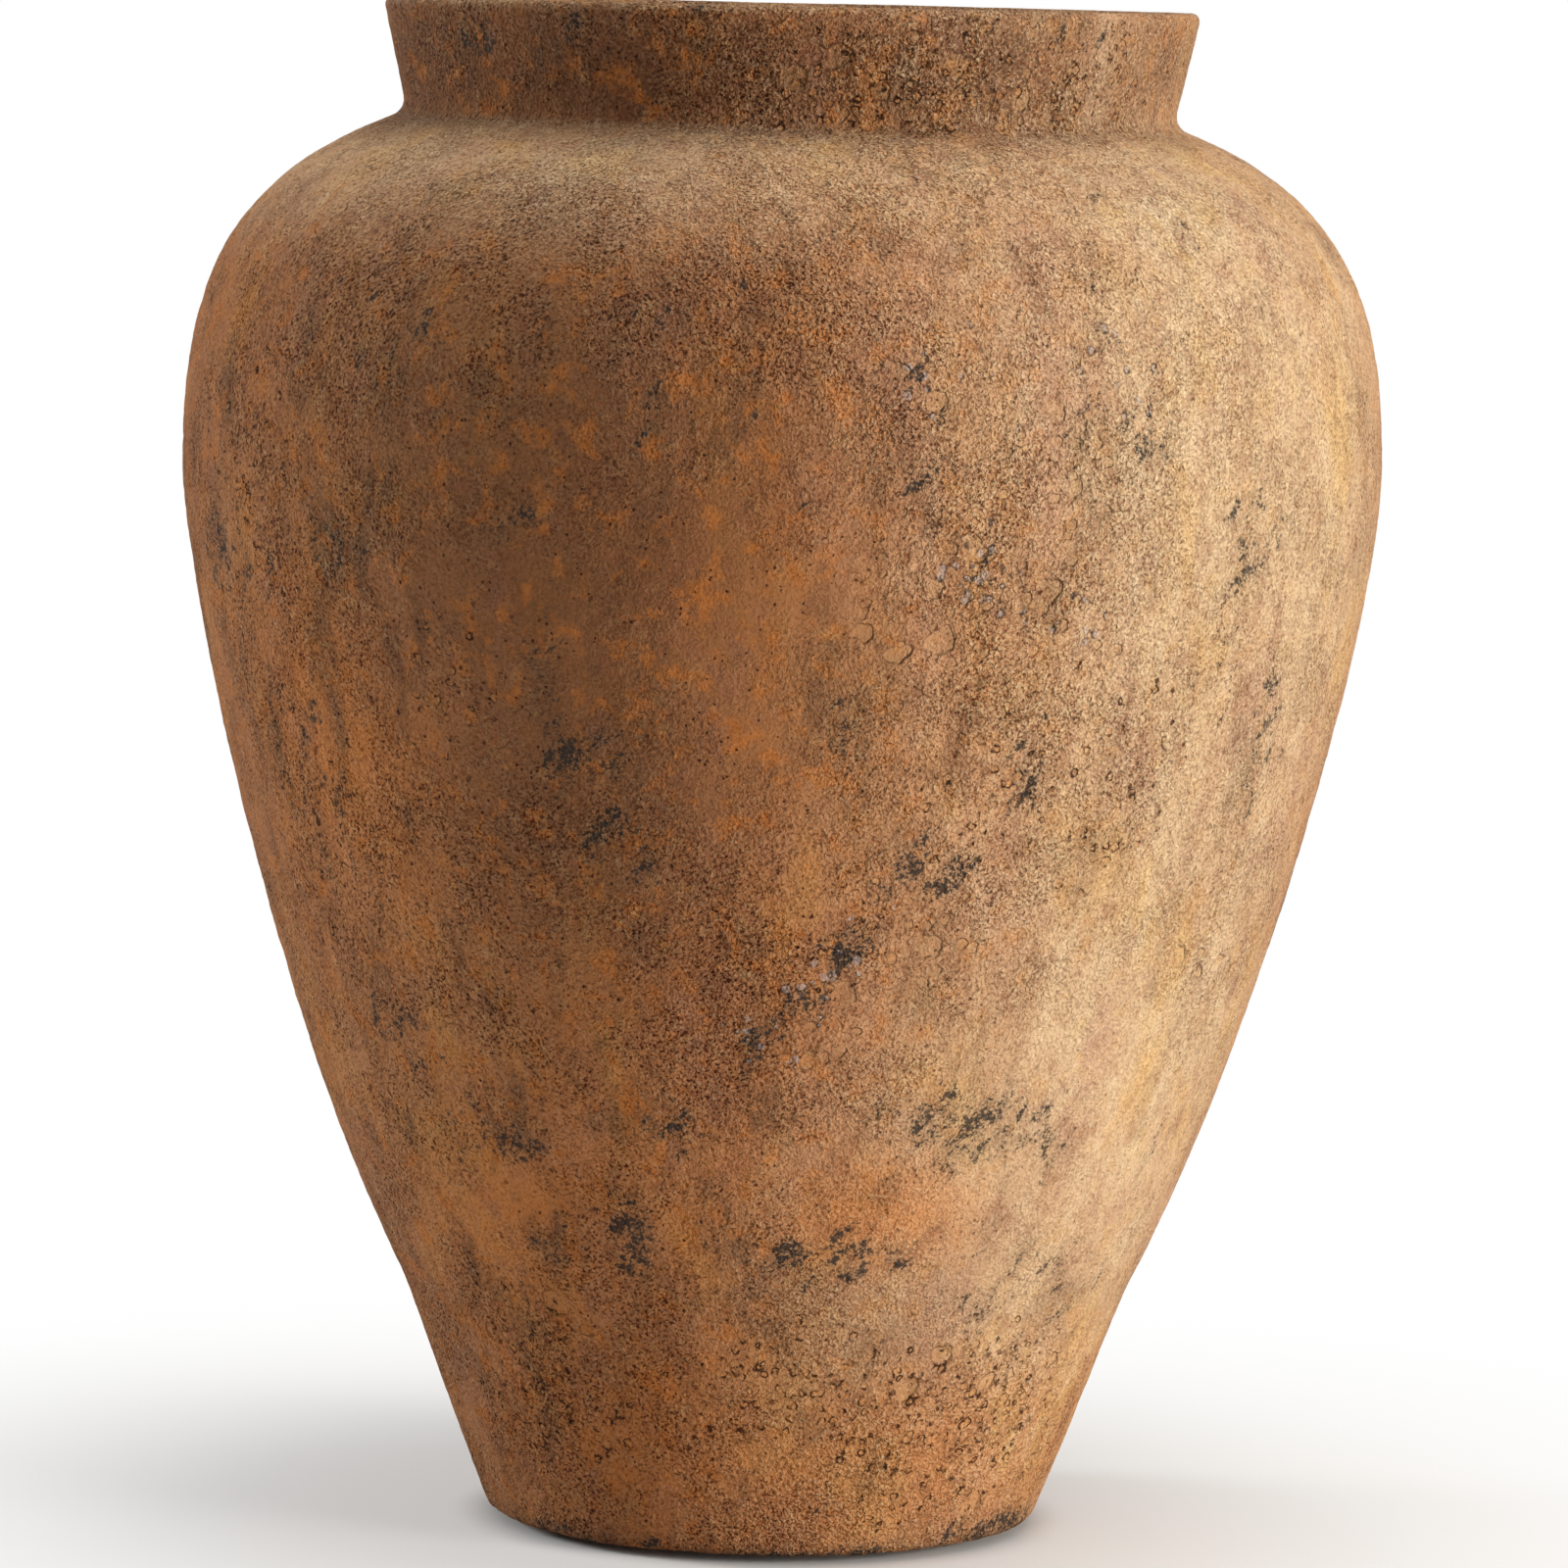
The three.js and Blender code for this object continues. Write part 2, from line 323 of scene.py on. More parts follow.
def outward_of(points):
    """Unit directions out of a section that is walked with its solid side on the left."""
    run = np.gradient(points, axis=0)
    run /= np.linalg.norm(run, axis=1)[:, None]
    return np.stack([run[:, 1], -run[:, 0]], axis=1)


class WallLine:
    """The outer line of the wall, from the foot up to the rim, and the surfaces inside it."""

    def __init__(self, points):
        self.points = points
        steps = np.linalg.norm(np.diff(points, axis=0), axis=1)
        self.along = np.concatenate([[0], np.cumsum(steps)])
        self.outward = outward_of(points)

    def at(self, along, depth=0.0):
        """Places (radius, height) and outward directions of points on the surface at a depth."""
        place = np.stack([np.interp(along, self.along, self.points[:, i]) for i in (0, 1)], axis=-1)
        out = np.stack([np.interp(along, self.along, self.outward[:, i]) for i in (0, 1)], axis=-1)
        return place - depth * out, out

    def along_at(self, height, depth=0.0):
        """How far along the line the surface at a depth reaches a height."""
        return float(np.interp(height, self.points[:, 1] - depth * self.outward[:, 1], self.along))

    def radius_at(self, height, depth=0.0):
        return float(self.at(self.along_at(height, depth), depth)[0][0])


# Heights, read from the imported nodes
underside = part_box("floor_disc")[0].z
floor_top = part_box("floor_disc")[1].z
floor_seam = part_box("foot_wall")[0].z
foot_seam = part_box("foot_wall")[1].z
waist_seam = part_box("waist_wall")[1].z
belly_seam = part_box("belly_wall")[1].z
neck_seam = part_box("shoulder_wall")[1].z
lip_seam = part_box("neck_collar")[1].z
rim_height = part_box("rim_lip")[1].z
heel_top = floor_top + HEEL_HEIGHT


def outer_line():
    foot = np.array([FOOT_RADIUS, underside])
    waist = np.array([WAIST_RADIUS, underside + WAIST_RISE])
    belly = np.array([BELLY_RADIUS, waist[1] + BELLY_RISE])
    neck_root = np.array([RIM_RADIUS - NECK_FLARE_OUT, belly[1] + SHOULDER_RISE])
    rim = np.array([RIM_RADIUS, neck_root[1] + NECK_RISE])
    fillet = rounded_corner(neck_root, SHOULDER_RUN, NECK_RUN, NECK_ROOT_FILLET, 60)
    lower = bezier(foot, foot + FOOT_PULL * FOOT_RUN, waist - WAIST_PULL_DOWN * WAIST_RUN, waist)
    middle = bezier(waist, waist + WAIST_PULL_UP * WAIST_RUN, belly - BELLY_PULL_DOWN * UP, belly)
    upper = bezier(belly, belly + BELLY_PULL_UP * UP, fillet[0] - SHOULDER_PULL * SHOULDER_RUN, fillet[0])
    neck = np.linspace(fillet[-1], rim, 100)
    return WallLine(np.concatenate([lower, middle[1:], upper[1:], fillet[1:], neck[1:]]))


line = outer_line()


class Point(NamedTuple):
    """A point of a turned section, with the direction of the relief that it takes, if any."""

    radius: float
    height: float
    out: float = 0.0
    rise: float = 0.0
    sharp: bool = False


def corner(radius, height):
    return Point(float(radius), float(height), sharp=True)


def resampled(points, spacing):
    """The same run of points, spread evenly."""
    along = np.concatenate([[0], np.cumsum(np.linalg.norm(np.diff(points, axis=0), axis=1))])
    even = np.linspace(0, along[-1], max(2, math.ceil(along[-1] / spacing)) + 1)
    return np.stack([np.interp(even, along, points[:, i]) for i in (0, 1)], axis=1)


def face(places, outs):
    """Section points that take the relief along their outward directions."""
    points = [Point(*place, *out) for place, out in zip(places, outs)]
    points[0] = points[0]._replace(sharp=True)
    points[-1] = points[-1]._replace(sharp=True)
    return points


def wall_face(low, high):
    """The outer face of the clay between two heights."""
    start = line.along_at(low)
    stop = line.along_at(high)
    along = np.linspace(start, stop, math.ceil((stop - start) / CLAY_SPACING) + 1)
    return line.at(along)


def hidden_face(depth, low, high, spacing=HIDDEN_SPACING):
    """Plain points at a depth inside the wall, from a low height to a high one."""
    start = line.along_at(low, depth)
    stop = line.along_at(high, depth)
    along = np.linspace(start, stop, math.ceil((stop - start) / spacing) + 1)
    return line.at(along, depth)[0]


def plain(places):
    return face(places, np.zeros_like(places))


def lap_radius(seam):
    return (line.radius_at(seam) + line.radius_at(seam, WALL)) / 2


def rebate(seam):
    radius = lap_radius(seam) + SLIP_GAP / 2
    return [corner(radius, seam), corner(radius, seam - LAP)]


def tongue(seam):
    radius = lap_radius(seam) - SLIP_GAP / 2
    return [corner(radius, seam - LAP + SLIP_GAP), corner(radius, seam)]


heel_radius = line.radius_at(floor_seam, WALL)


def ring_section(bottom, top):
    """A thrown ring: outer face, rebate in its top, inner face and the tongue under it."""
    inner = hidden_face(WALL, bottom - LAP + SLIP_GAP, top - LAP)
    return face(*wall_face(bottom, top)) + rebate(top) + plain(inner[::-1]) + tongue(bottom)


def foot_section():
    """The first ring, which stands round the floor's plug on a thickened heel."""
    inner = hidden_face(WALL, heel_top, foot_seam - LAP)
    heel = [corner(heel_radius, floor_top), corner(heel_radius, floor_seam)]
    return face(*wall_face(floor_seam, foot_seam)) + rebate(foot_seam) + plain(inner[::-1]) + heel


def slab_section():
    """The floor slab: underside, worn foot edge, ledge for the first ring and the plug inside it."""
    edge = rounded_corner(np.array([FOOT_RADIUS, underside]), OUTWARDS, FOOT_RUN, FOOT_ROUNDING)
    flat = resampled(np.array([[0, underside], edge[0]]), SLAB_SPACING)
    side, _ = wall_face(edge[-1][1], floor_seam)
    outside = np.concatenate([flat, edge[1:], side[1:]])
    outs = outward_of(outside)
    outs[-1] = line.at(line.along_at(floor_seam))[1]
    plug_radius = heel_radius - SLIP_GAP
    plug = [corner(plug_radius, floor_seam), corner(plug_radius, floor_top), Point(0.0, floor_top)]
    return face(outside, outs) + plug


def lip_section():
    """The last coil: outer face, rounded lip and its inside, down to the tongue."""
    outer_corner = np.array([RIM_RADIUS, rim_height])
    inner_corner = outer_corner + INWARDS * WALL / NECK_RUN[1]
    outer_arc = rounded_corner(outer_corner, NECK_RUN, INWARDS, LIP_ROUNDING)
    inner_arc = rounded_corner(inner_corner, INWARDS, -NECK_RUN, LIP_ROUNDING)
    tongue_foot = lip_seam - LAP + SLIP_GAP
    outside, _ = wall_face(lip_seam, outer_arc[0][1])
    top = resampled(np.array([outer_arc[-1], inner_arc[0]]), CLAY_SPACING)
    inside_end = np.array([line.radius_at(tongue_foot, WALL), tongue_foot])
    inside = resampled(np.array([inner_arc[-1], inside_end]), CLAY_SPACING)
    places = np.concatenate([outside, outer_arc[1:], top[1:-1], inner_arc, inside[1:]])
    outs = outward_of(places)
    outs[0] = line.at(line.along_at(lip_seam))[1]
    return face(places, outs * (1, LIP_TOP_SHARE)) + tongue(lip_seam)


def heel_place(height, depth):
    """A point at a depth inside the heel, where the lining turns up from the floor."""
    run = unit(line.radius_at(heel_top, WALL) - heel_radius, HEEL_HEIGHT)
    return np.array([heel_radius + ((height - floor_top) * run[0] - depth) / run[1], height])


def lining_section():
    """The sealing coat: its back against the clay, its top edge and its glossy front."""
    back_depth = WALL + SLIP_GAP
    front_depth = back_depth + GLAZE
    coat_top = lip_seam - LAP
    back = hidden_face(back_depth, heel_top, coat_top)
    front_wall = hidden_face(front_depth, heel_top, coat_top, GLAZE_SPACING)
    front_foot = heel_place(floor_top + GLAZE, SLIP_GAP + GLAZE)
    front_heel = resampled(np.array([front_wall[0], front_foot]), GLAZE_SPACING)
    front_floor = resampled(np.array([front_foot, [0, floor_top + GLAZE]]), GLAZE_SPACING)
    front = np.concatenate([front_wall[::-1], front_heel[1:], front_floor[1:]])
    behind = np.concatenate([[[0, floor_top], heel_place(floor_top, SLIP_GAP)], back])
    return plain(behind) + face(front, outward_of(front))


def turned_faces(section, starts, segments):
    """The faces between each ring of a turned section and the next, with fans at the poles."""
    step = np.arange(segments)
    after = (step + 1) % segments
    count = len(section)
    closed = section[0].radius > 0
    faces = []
    for low in range(count if closed else count - 1):
        high = (low + 1) % count
        low_ring = [starts[low] + step, starts[low] + after]
        high_ring = [starts[high] + after, starts[high] + step]
        if section[low].radius == 0:
            low_ring = [np.full(segments, starts[low])]
        if section[high].radius == 0:
            high_ring = [np.full(segments, starts[high])]
        faces += np.stack(low_ring + high_ring, axis=1).tolist()
    return faces


def turned_mesh(name, section, segments):
    """A section turned about the vertical axis into a closed mesh, with its relief directions kept."""
    angles = 2 * math.pi * np.arange(segments) / segments
    starts, places, outs = [], [], []
    total = 0
    for point in section:
        around = angles if point.radius > 0 else angles[:1]
        ring = np.stack([np.sin(around), -np.cos(around)], axis=1)
        level = np.ones((len(around), 1))
        places.append(np.hstack([point.radius * ring, point.height * level]))
        outs.append(np.hstack([point.out * ring, point.rise * level]))
        starts.append(total)
        total += len(around)
    faces = turned_faces(section, starts, segments)
    mesh = bpy.data.meshes.new(name)
    mesh.from_pydata(np.concatenate(places).tolist(), [], faces)
    mesh.shade_smooth()
    sharpen_rings(mesh, section, starts)
    keep_vectors(mesh, "clay_point", np.concatenate(places))
    keep_vectors(mesh, "outward", np.concatenate(outs))
    return mesh


def sharpen_rings(mesh, section, starts):
    """Marks the edges that run round the section's corners as sharp."""
    ends = np.zeros(len(mesh.edges) * 2, dtype=np.int32)
    mesh.edges.foreach_get("vertices", ends)
    rows = np.searchsorted(np.array(starts), ends.reshape(-1, 2), side="right") - 1
    sharp_rows = np.array([point.sharp for point in section])
    sharp = (rows[:, 0] == rows[:, 1]) & sharp_rows[rows[:, 0]]
    mesh.attributes.new("sharp_edge", "BOOLEAN", "EDGE").data.foreach_set("value", sharp)


def keep_vectors(mesh, name, vectors):
    layer = mesh.attributes.new(name, "FLOAT_VECTOR", "POINT")
    layer.data.foreach_set("vector", vectors.astype(np.float32).ravel())


def keep_values(mesh, name, values):
    layer = mesh.attributes.new(name, "FLOAT", "POINT")
    layer.data.foreach_set("value", values.astype(np.float32))


def mark_values(mesh, marks):
    """How strongly the marks cover each point of a clay skin, here and once more on the far side."""
    places = np.zeros(len(mesh.vertices) * 3, dtype=np.float32)
    mesh.vertices.foreach_get("co", places)
    x, y, z = places.reshape(-1, 3).T
    radius = np.hypot(x, y)
    angle = np.degrees(np.arctan2(x, -y))
    along = np.interp(z, line.points[:, 1], line.along)
    cover = np.zeros(len(z))
    for mark in marks:
        for turn in (0, 180):
            away = (angle - mark.angle * (1 if turn == 0 else -1) - turn + 180) % 360 - 180
            across = np.radians(away) * radius / MM
            up = (along - line.along_at(mark.height * MM)) / MM
            tilt = math.radians(mark.tilt)
            wide = (across * math.cos(tilt) - up * math.sin(tilt)) / mark.across
            tall = (across * math.sin(tilt) + up * math.cos(tilt)) / mark.tall
            near = np.clip(MARK_END - np.hypot(wide, tall), 0, 1)
            cover = np.maximum(cover, mark.strength * near)
    return cover


# Node trees


class Graph:
    """Adds nodes to a shader or geometry tree and hands back their output sockets."""

    def __init__(self, tree):
        self.tree = tree

    def node(self, kind, inputs=(), **settings):
        made = self.tree.nodes.new(kind)
        for name, value in settings.items():
            setattr(made, name, value)
        for key, value in dict(inputs).items():
            self.feed(made.inputs[key], value)
        return made

    def feed(self, socket, value):
        if isinstance(value, bpy.types.NodeSocket):
            self.tree.links.new(value, socket)
        else:
            socket.default_value = value

    def math(self, operation, a, b=0.0, clamp=False):
        made = self.node("ShaderNodeMath", {0: a, 1: b}, operation=operation, use_clamp=clamp)
        return made.outputs[0]

    def add(self, *values):
        total = values[0]
        for value in values[1:]:
            total = self.math("ADD", total, value)
        return total

    def times(self, *values):
        total = values[0]
        for value in values[1:]:
            total = self.math("MULTIPLY", total, value)
        return total

    def less(self, a, b):
        return self.math("SUBTRACT", a, b)

    def step(self, value, low, high):
        """0 below low, 1 above high, and smooth between; falls instead if low is the higher one."""
        return self.node(
            "ShaderNodeMapRange",
            {"Value": value, "From Min": low, "From Max": high},
            interpolation_type="SMOOTHSTEP",
        ).outputs[0]

    def scaled(self, value, to_low, to_high):
        """A value from 0 to 1, stretched to another range."""
        made = self.node("ShaderNodeMapRange", {"Value": value, "To Min": to_low, "To Max": to_high})
        return made.outputs[0]

    def mix(self, share, a, b, blend="MIX"):
        made = self.node("ShaderNodeMix", {0: share, 6: a, 7: b}, data_type="RGBA", blend_type=blend)
        return made.outputs[2]

    def vector(self, operation, a, b):
        return self.node("ShaderNodeVectorMath", {0: a, 1: b}, operation=operation).outputs[0]

    def stretch(self, vector, amount):
        made = self.node("ShaderNodeVectorMath", {"Vector": vector, "Scale": amount}, operation="SCALE")
        return made.outputs[0]

    def noise(self, point, size, detail=2.0, roughness=0.5, twist=0.0, output="Fac"):
        """Noise whose blobs are about a given size across."""
        inputs = {
            "Vector": point, "Scale": 1 / size, "Detail": detail, "Roughness": roughness, "Distortion": twist,
        }
        return self.node("ShaderNodeTexNoise", inputs).outputs[output]

    def cells(self, point, size, feature="F1"):
        return self.node("ShaderNodeTexVoronoi", {"Vector": point, "Scale": 1 / size}, feature=feature)

    def wandered(self, point, size, reach):
        """The point, pushed about by up to a reach, so that what is drawn there is uneven."""
        push = self.vector("SUBTRACT", self.noise(point, size, output="Color"), (0.5, 0.5, 0.5))
        return self.vector("ADD", point, self.stretch(push, reach))


def blister_field(g, point, density, size, traced=THIN_LINE, ragged=0.5):
    """Burst blisters, as cells of about a size: their flat floors, raised rims and dark outlines, partly dirt
    and partly painted shade at the edge.
    """
    cells = g.cells(g.wandered(point, 0.5 * size, ragged * size), size)
    chance = g.node("ShaderNodeSeparateXYZ", {0: cells.outputs["Color"]})
    reach = g.scaled(chance.outputs[1], *BLISTER_REACH)
    away = g.math("DIVIDE", cells.outputs["Distance"], reach)
    there = g.math("LESS_THAN", chance.outputs[0], density)
    broken = g.step(g.noise(point, 0.8 * size, 1), 0.4, 0.62)
    floor = g.times(g.step(away, 1.0, 0.82), there)
    rim = g.times(g.step(away, 0.8, 1.1), g.step(away, 1.6, 1.15), there)
    start, full, fade, stop = traced
    outline = g.times(g.step(away, start, full), g.step(away, stop, fade), there, broken)
    return floor, rim, outline


def pit_field(g, point, density, size):
    """Pin-prick pits, as cells of about a size."""
    cells = g.cells(g.wandered(point, 0.35 * size, 0.4 * size), size)
    chance = g.node("ShaderNodeSeparateXYZ", {0: cells.outputs["Color"]})
    reach = g.scaled(chance.outputs[1], *PIT_REACH)
    there = g.math("LESS_THAN", chance.outputs[0], density)
    return g.times(g.step(g.math("DIVIDE", cells.outputs["Distance"], reach), 1.0, 0.45), there)


def crowding(g, point, size, most):
    """A density that gathers in some places and leaves others bare."""
    return g.times(g.step(g.noise(point, size, 3, 0.6), 0.42, 0.64), most)


def clay_pits(g, point):
    return pit_field(g, point, crowding(g, point, PIT_CROWD, PIT_SHARE), PIT_SIZE)


def new_tree(name, kind, inputs, outputs):
    """An empty node tree with named sockets, and its graph, given values and output sockets."""
    tree = bpy.data.node_groups.new(name, kind)
    for direction, sockets in (("INPUT", inputs), ("OUTPUT", outputs)):
        for label, value in sockets.items():
            tree.interface.new_socket(label, in_out=direction, socket_type=f"NodeSocket{value}")
    g = Graph(tree)
    return g, g.node("NodeGroupInput").outputs, g.node("NodeGroupOutput").inputs


# Geometry trees


def skin_tree(name, sizes):
    """An empty tree that takes a skin and named sizes and gives the skin back."""
    skin = {"Skin": "Geometry"}
    return new_tree(name, "GeometryNodeTree", skin | dict.fromkeys(sizes, "Float"), skin)


def finished(g, skin, material):
    """Ends a tree: instances made real, and the material set."""
    whole = g.node("GeometryNodeRealizeInstances", {0: skin})
    return g.node("GeometryNodeSetMaterial", {"Geometry": whole.outputs[0], "Material": material}).outputs[0]


def named_field(g, name, kind):
    return g.node("GeometryNodeInputNamedAttribute", {"Name": name}, data_type=kind).outputs[0]


def pushed(g, skin, height):
    """A skin moved by a height along its kept outward directions."""
    push = g.stretch(named_field(g, "outward", "FLOAT_VECTOR"), height)
    return g.node("GeometryNodeSetPosition", {"Geometry": skin, "Offset": push}).outputs[0]


def weathered_relief(material):
    """Works waves, lumps, grain, blisters and pits into a clay skin, mostly inwards from the solid's face."""
    g, given, out = skin_tree("weathered_relief", RELIEF_SIZES)
    point = g.node("GeometryNodeInputPosition").outputs[0]
    blistered = named_field(g, "blister", "FLOAT")
    waves = g.times(g.less(g.noise(point, WAVE_LENGTH, 1), WAVE_LEVEL), given["Waves"])
    lumps = g.times(g.less(g.noise(point, LUMP_LENGTH, 2), LUMP_LEVEL), given["Lumps"])
    grain = g.times(g.less(g.noise(point, GRIT_LENGTH, 1), GRIT_LEVEL), given["Grain"])
    floor, rim, _ = blister_field(g, point, g.times(blistered, BLISTER_SHARE), BLISTER_SIZE)
    bleb_floor, bleb_rim, _ = blister_field(g, point, g.times(blistered, BLEB_SHARE), BLEB_SIZE)
    raised = g.add(rim, g.times(bleb_rim, 0.6))
    lowered = g.add(floor, g.times(bleb_floor, 0.5))
    blisters = g.times(g.less(g.times(raised, 0.5), lowered), given["Blisters"])
    pits = g.times(clay_pits(g, point), given["Pits"])
    height = g.less(g.add(waves, lumps, grain, blisters), pits)
    g.feed(out[0], finished(g, pushed(g, given["Skin"], height), material))
    return g.tree


def thrown_rings(material):
    """Raises the finger ridges of throwing on the lining, round after round up the wall."""
    g, given, out = skin_tree("thrown_rings", RING_SIZES)
    point = g.node("GeometryNodeInputPosition").outputs[0]
    height = g.node("ShaderNodeSeparateXYZ", {0: point}).outputs[2]
    drifted = g.add(height, g.times(g.noise(point, RING_DRIFT, 1), given["Pitch"]))
    turns = g.times(g.math("DIVIDE", drifted, given["Pitch"]), 2 * math.pi)
    ridge = g.times(g.math("SINE", turns), given["Ridge"])
    g.feed(out[0], finished(g, pushed(g, given["Skin"], ridge), material))
    return g.tree


def felt_fuzz(material):
    """Strews short fibres over the sides of a felt pad."""
    g, given, out = skin_tree("felt_fuzz", FUZZ_SIZES)
    slope = g.node("ShaderNodeSeparateXYZ", {0: g.node("GeometryNodeInputNormal").outputs[0]}).outputs[2]
    side = g.math("LESS_THAN", g.math("ABSOLUTE", slope), SIDE_SLOPE)
    strewn = g.node(
        "GeometryNodeDistributePointsOnFaces",
        {
            "Mesh": given["Skin"],
            "Selection": side,
            "Density": given["Fibres per square metre"],
            "Seed": FIBRE_SEED,
        },
    )
    fibre = g.node(
        "GeometryNodeMeshCone",
        {
            "Vertices": 4,
            "Radius Top": 0.0,
            "Radius Bottom": given["Fibre radius"],
            "Depth": given["Fibre length"],
        },
    )
    lean = g.node(
        "FunctionNodeRandomValue",
        {0: (-FIBRE_LEAN, -FIBRE_LEAN, 0.0), 1: (FIBRE_LEAN, FIBRE_LEAN, 0.0), "Seed": LEAN_SEED},
        data_type="FLOAT_VECTOR",
    )
    leaned = g.node(
        "FunctionNodeRotateRotation",
        {"Rotation": strewn.outputs["Rotation"], "Rotate By": lean.outputs[0]},
        rotation_space="LOCAL",
    )
    fibres = g.node(
        "GeometryNodeInstanceOnPoints",
        {"Points": strewn.outputs["Points"], "Instance": fibre.outputs[0], "Rotation": leaned.outputs[0]},
    )
    joined = g.node("GeometryNodeJoinGeometry")
    g.feed(joined.inputs[0], given["Skin"])
    g.feed(joined.inputs[0], fibres.outputs[0])
    g.feed(out[0], finished(g, joined.outputs[0], material))
    return g.tree


def added(name, data):
    """A new object in the scene."""
    thing = bpy.data.objects.new(name, data)
    bpy.context.scene.collection.objects.link(thing)
    return thing


def grown(name, mesh, tree, sizes):
    """Runs a Geometry Nodes tree on a mesh and keeps the result as a plain mesh object."""
    piece = added(name, mesh)
    modifier = piece.modifiers.new(tree.name, "NODES")
    modifier.node_group = tree
    for socket in tree.interface.items_tree:
        if socket.in_out == "INPUT" and socket.name in sizes:
            modifier[socket.identifier] = sizes[socket.name]
    depsgraph = bpy.context.evaluated_depsgraph_get()
    result = bpy.data.meshes.new_from_object(
        piece.evaluated_get(depsgraph), preserve_all_data_layers=True, depsgraph=depsgraph
    )
    piece.modifiers.remove(modifier)
    piece.data = result
    result.name = name
    return piece


# Materials


def srgb(code):
    """Linear colour of a hex code."""
    parts = [int(code[i : i + 2], 16) / 255 for i in (1, 3, 5)]
    return (*[c / 12.92 if c <= 0.04045 else ((c + 0.055) / 1.055) ** 2.4 for c in parts], 1.0)


def new_material(name, roughness):
    material = bpy.data.materials.new(name)
    material.use_nodes = True
    shader = material.node_tree.nodes["Principled BSDF"]
    shader.inputs["Roughness"].default_value = roughness
    return material, Graph(material.node_tree), shader


def shader_attribute(g, name, output):
    return g.node("ShaderNodeAttribute", attribute_name=name).outputs[output]


def bumped(g, shader, height, reach):
    """Feeds a height, in shares of a reach, to the shader's normal."""
    bump = g.node("ShaderNodeBump", {"Height": height, "Distance": reach, "Strength": 1.0})
    g.feed(shader.inputs["Normal"], bump.outputs[0])


def layered(g, colour, layers, blend="MIX"):
    """Lays colours over one another, each as far as its mask and its share let it cover."""
    for mask, share, code in layers:
        colour = g.mix(g.times(mask, share), colour, srgb(code), blend)
    return colour


def mottle_group():
    """Broad patches and a fine speckle, as fired clay, glaze and felt all have at their own sizes."""
    inputs = {"Point": "Vector", "Patches per metre": "Float", "Specks per metre": "Float"}
    outputs = {"Patches": "Float", "Specks": "Float"}
    g, given, out = new_tree("patchy_mottle", "ShaderNodeTree", inputs, outputs)
    point = {"Vector": given["Point"]}
    patches = {"Scale": given["Patches per metre"], "Detail": 3.0, "Roughness": 0.55}
    specks = {"Scale": given["Specks per metre"], "Detail": 1.2, "Distortion": 0.6}
    g.feed(out["Patches"], g.node("ShaderNodeTexNoise", point | patches).outputs["Fac"])
    g.feed(out["Specks"], g.node("ShaderNodeTexNoise", point | specks).outputs["Fac"])
    return g.tree


def patchy_dust_and_light(g, patches):
    """How thick dust and the painted light laid in with it lie, thinner where the patches are low."""
    return g.scaled(g.step(patches, 0.3, 0.62), THINNEST_DUST, 1.0)


def dust_group():
    """Dust that settles on what faces up, more on some patches than on others."""
    inputs = {"Point": "Vector", "Rise": "Float", "Amount": "Float"}
    g, given, out = new_tree("settled_dust", "ShaderNodeTree", inputs, {"Dust": "Float"})
    lying = patchy_dust_and_light(g, g.noise(given["Point"], DUST_PATCH, 4, 0.6))
    g.feed(out["Dust"], g.times(g.step(given["Rise"], 0.35, 0.95), given["Amount"], lying))
    return g.tree


def placed(g, tree, values):
    """A shader group placed in a material with its own values."""
    return g.node("ShaderNodeGroup", values, node_tree=tree).outputs


def mottled(g, tree, point, patch_size, speck_size):
    sizes = {"Patches per metre": 1 / patch_size, "Specks per metre": 1 / speck_size}
    return placed(g, tree, {"Point": point, **sizes})


def upward(g):
    """How far a skin faces up, from its kept outward directions."""
    return g.node("ShaderNodeSeparateXYZ", {0: shader_attribute(g, "outward", "Vector")}).outputs[2]


def settled_dust(g, dust, point, amount):
    return placed(g, dust, {"Point": point, "Rise": upward(g), "Amount": amount})["Dust"]


def add_stains(g, f, point, mottle):
    """Broad tones, runs down the wall, stains, and the grain of the clay."""
    running = g.vector("MULTIPLY", point, STAIN_STRETCH)
    speckled = mottled(g, mottle, point, PATCH_SIZE, GRAIN_SIZE)
    f.patches = speckled["Patches"]
    f.grain = speckled["Specks"]
    f.drift = g.noise(g.wandered(running, 60 * MM, 40 * MM), DRIFT_SIZE, 4, 0.6)
    f.tone = g.noise(g.wandered(running, 40 * MM, 20 * MM), TONE_SIZE, 3, 0.6)
    f.runs = g.noise(g.vector("MULTIPLY", point, RUN_STRETCH), RUN_SIZE, 4, 0.65)
    f.stain = g.noise(g.wandered(running, 25 * MM, 12 * MM), STAIN_SIZE, 5, 0.68)
    f.hue = g.noise(g.wandered(point, 12 * MM, 6 * MM), HUE_SIZE, 4, 0.65)
    f.mottle = g.noise(point, MOTTLE_SIZE, 3, 0.65)
    f.wrinkles = g.noise(point, WRINKLE_SIZE, 1.5, 0.6, 0.9)


def add_dust_and_painted_light(g, f, point, dust):
    """Dust on what faces up, with the painted light of the lit right side and the lip's top laid in as the
    same pale cover, and the bare clay between.
    """
    painted_lit_share = g.times(f.bloom, patchy_dust_and_light(g, f.drift))
    # f.dust holds the settled dust and the painted light together, so every layer that reads it paints both.
    f.dust = g.math("MAXIMUM", settled_dust(g, dust, point, CLAY_DUST), painted_lit_share)
    f.bare = g.less(1.0, f.dust)


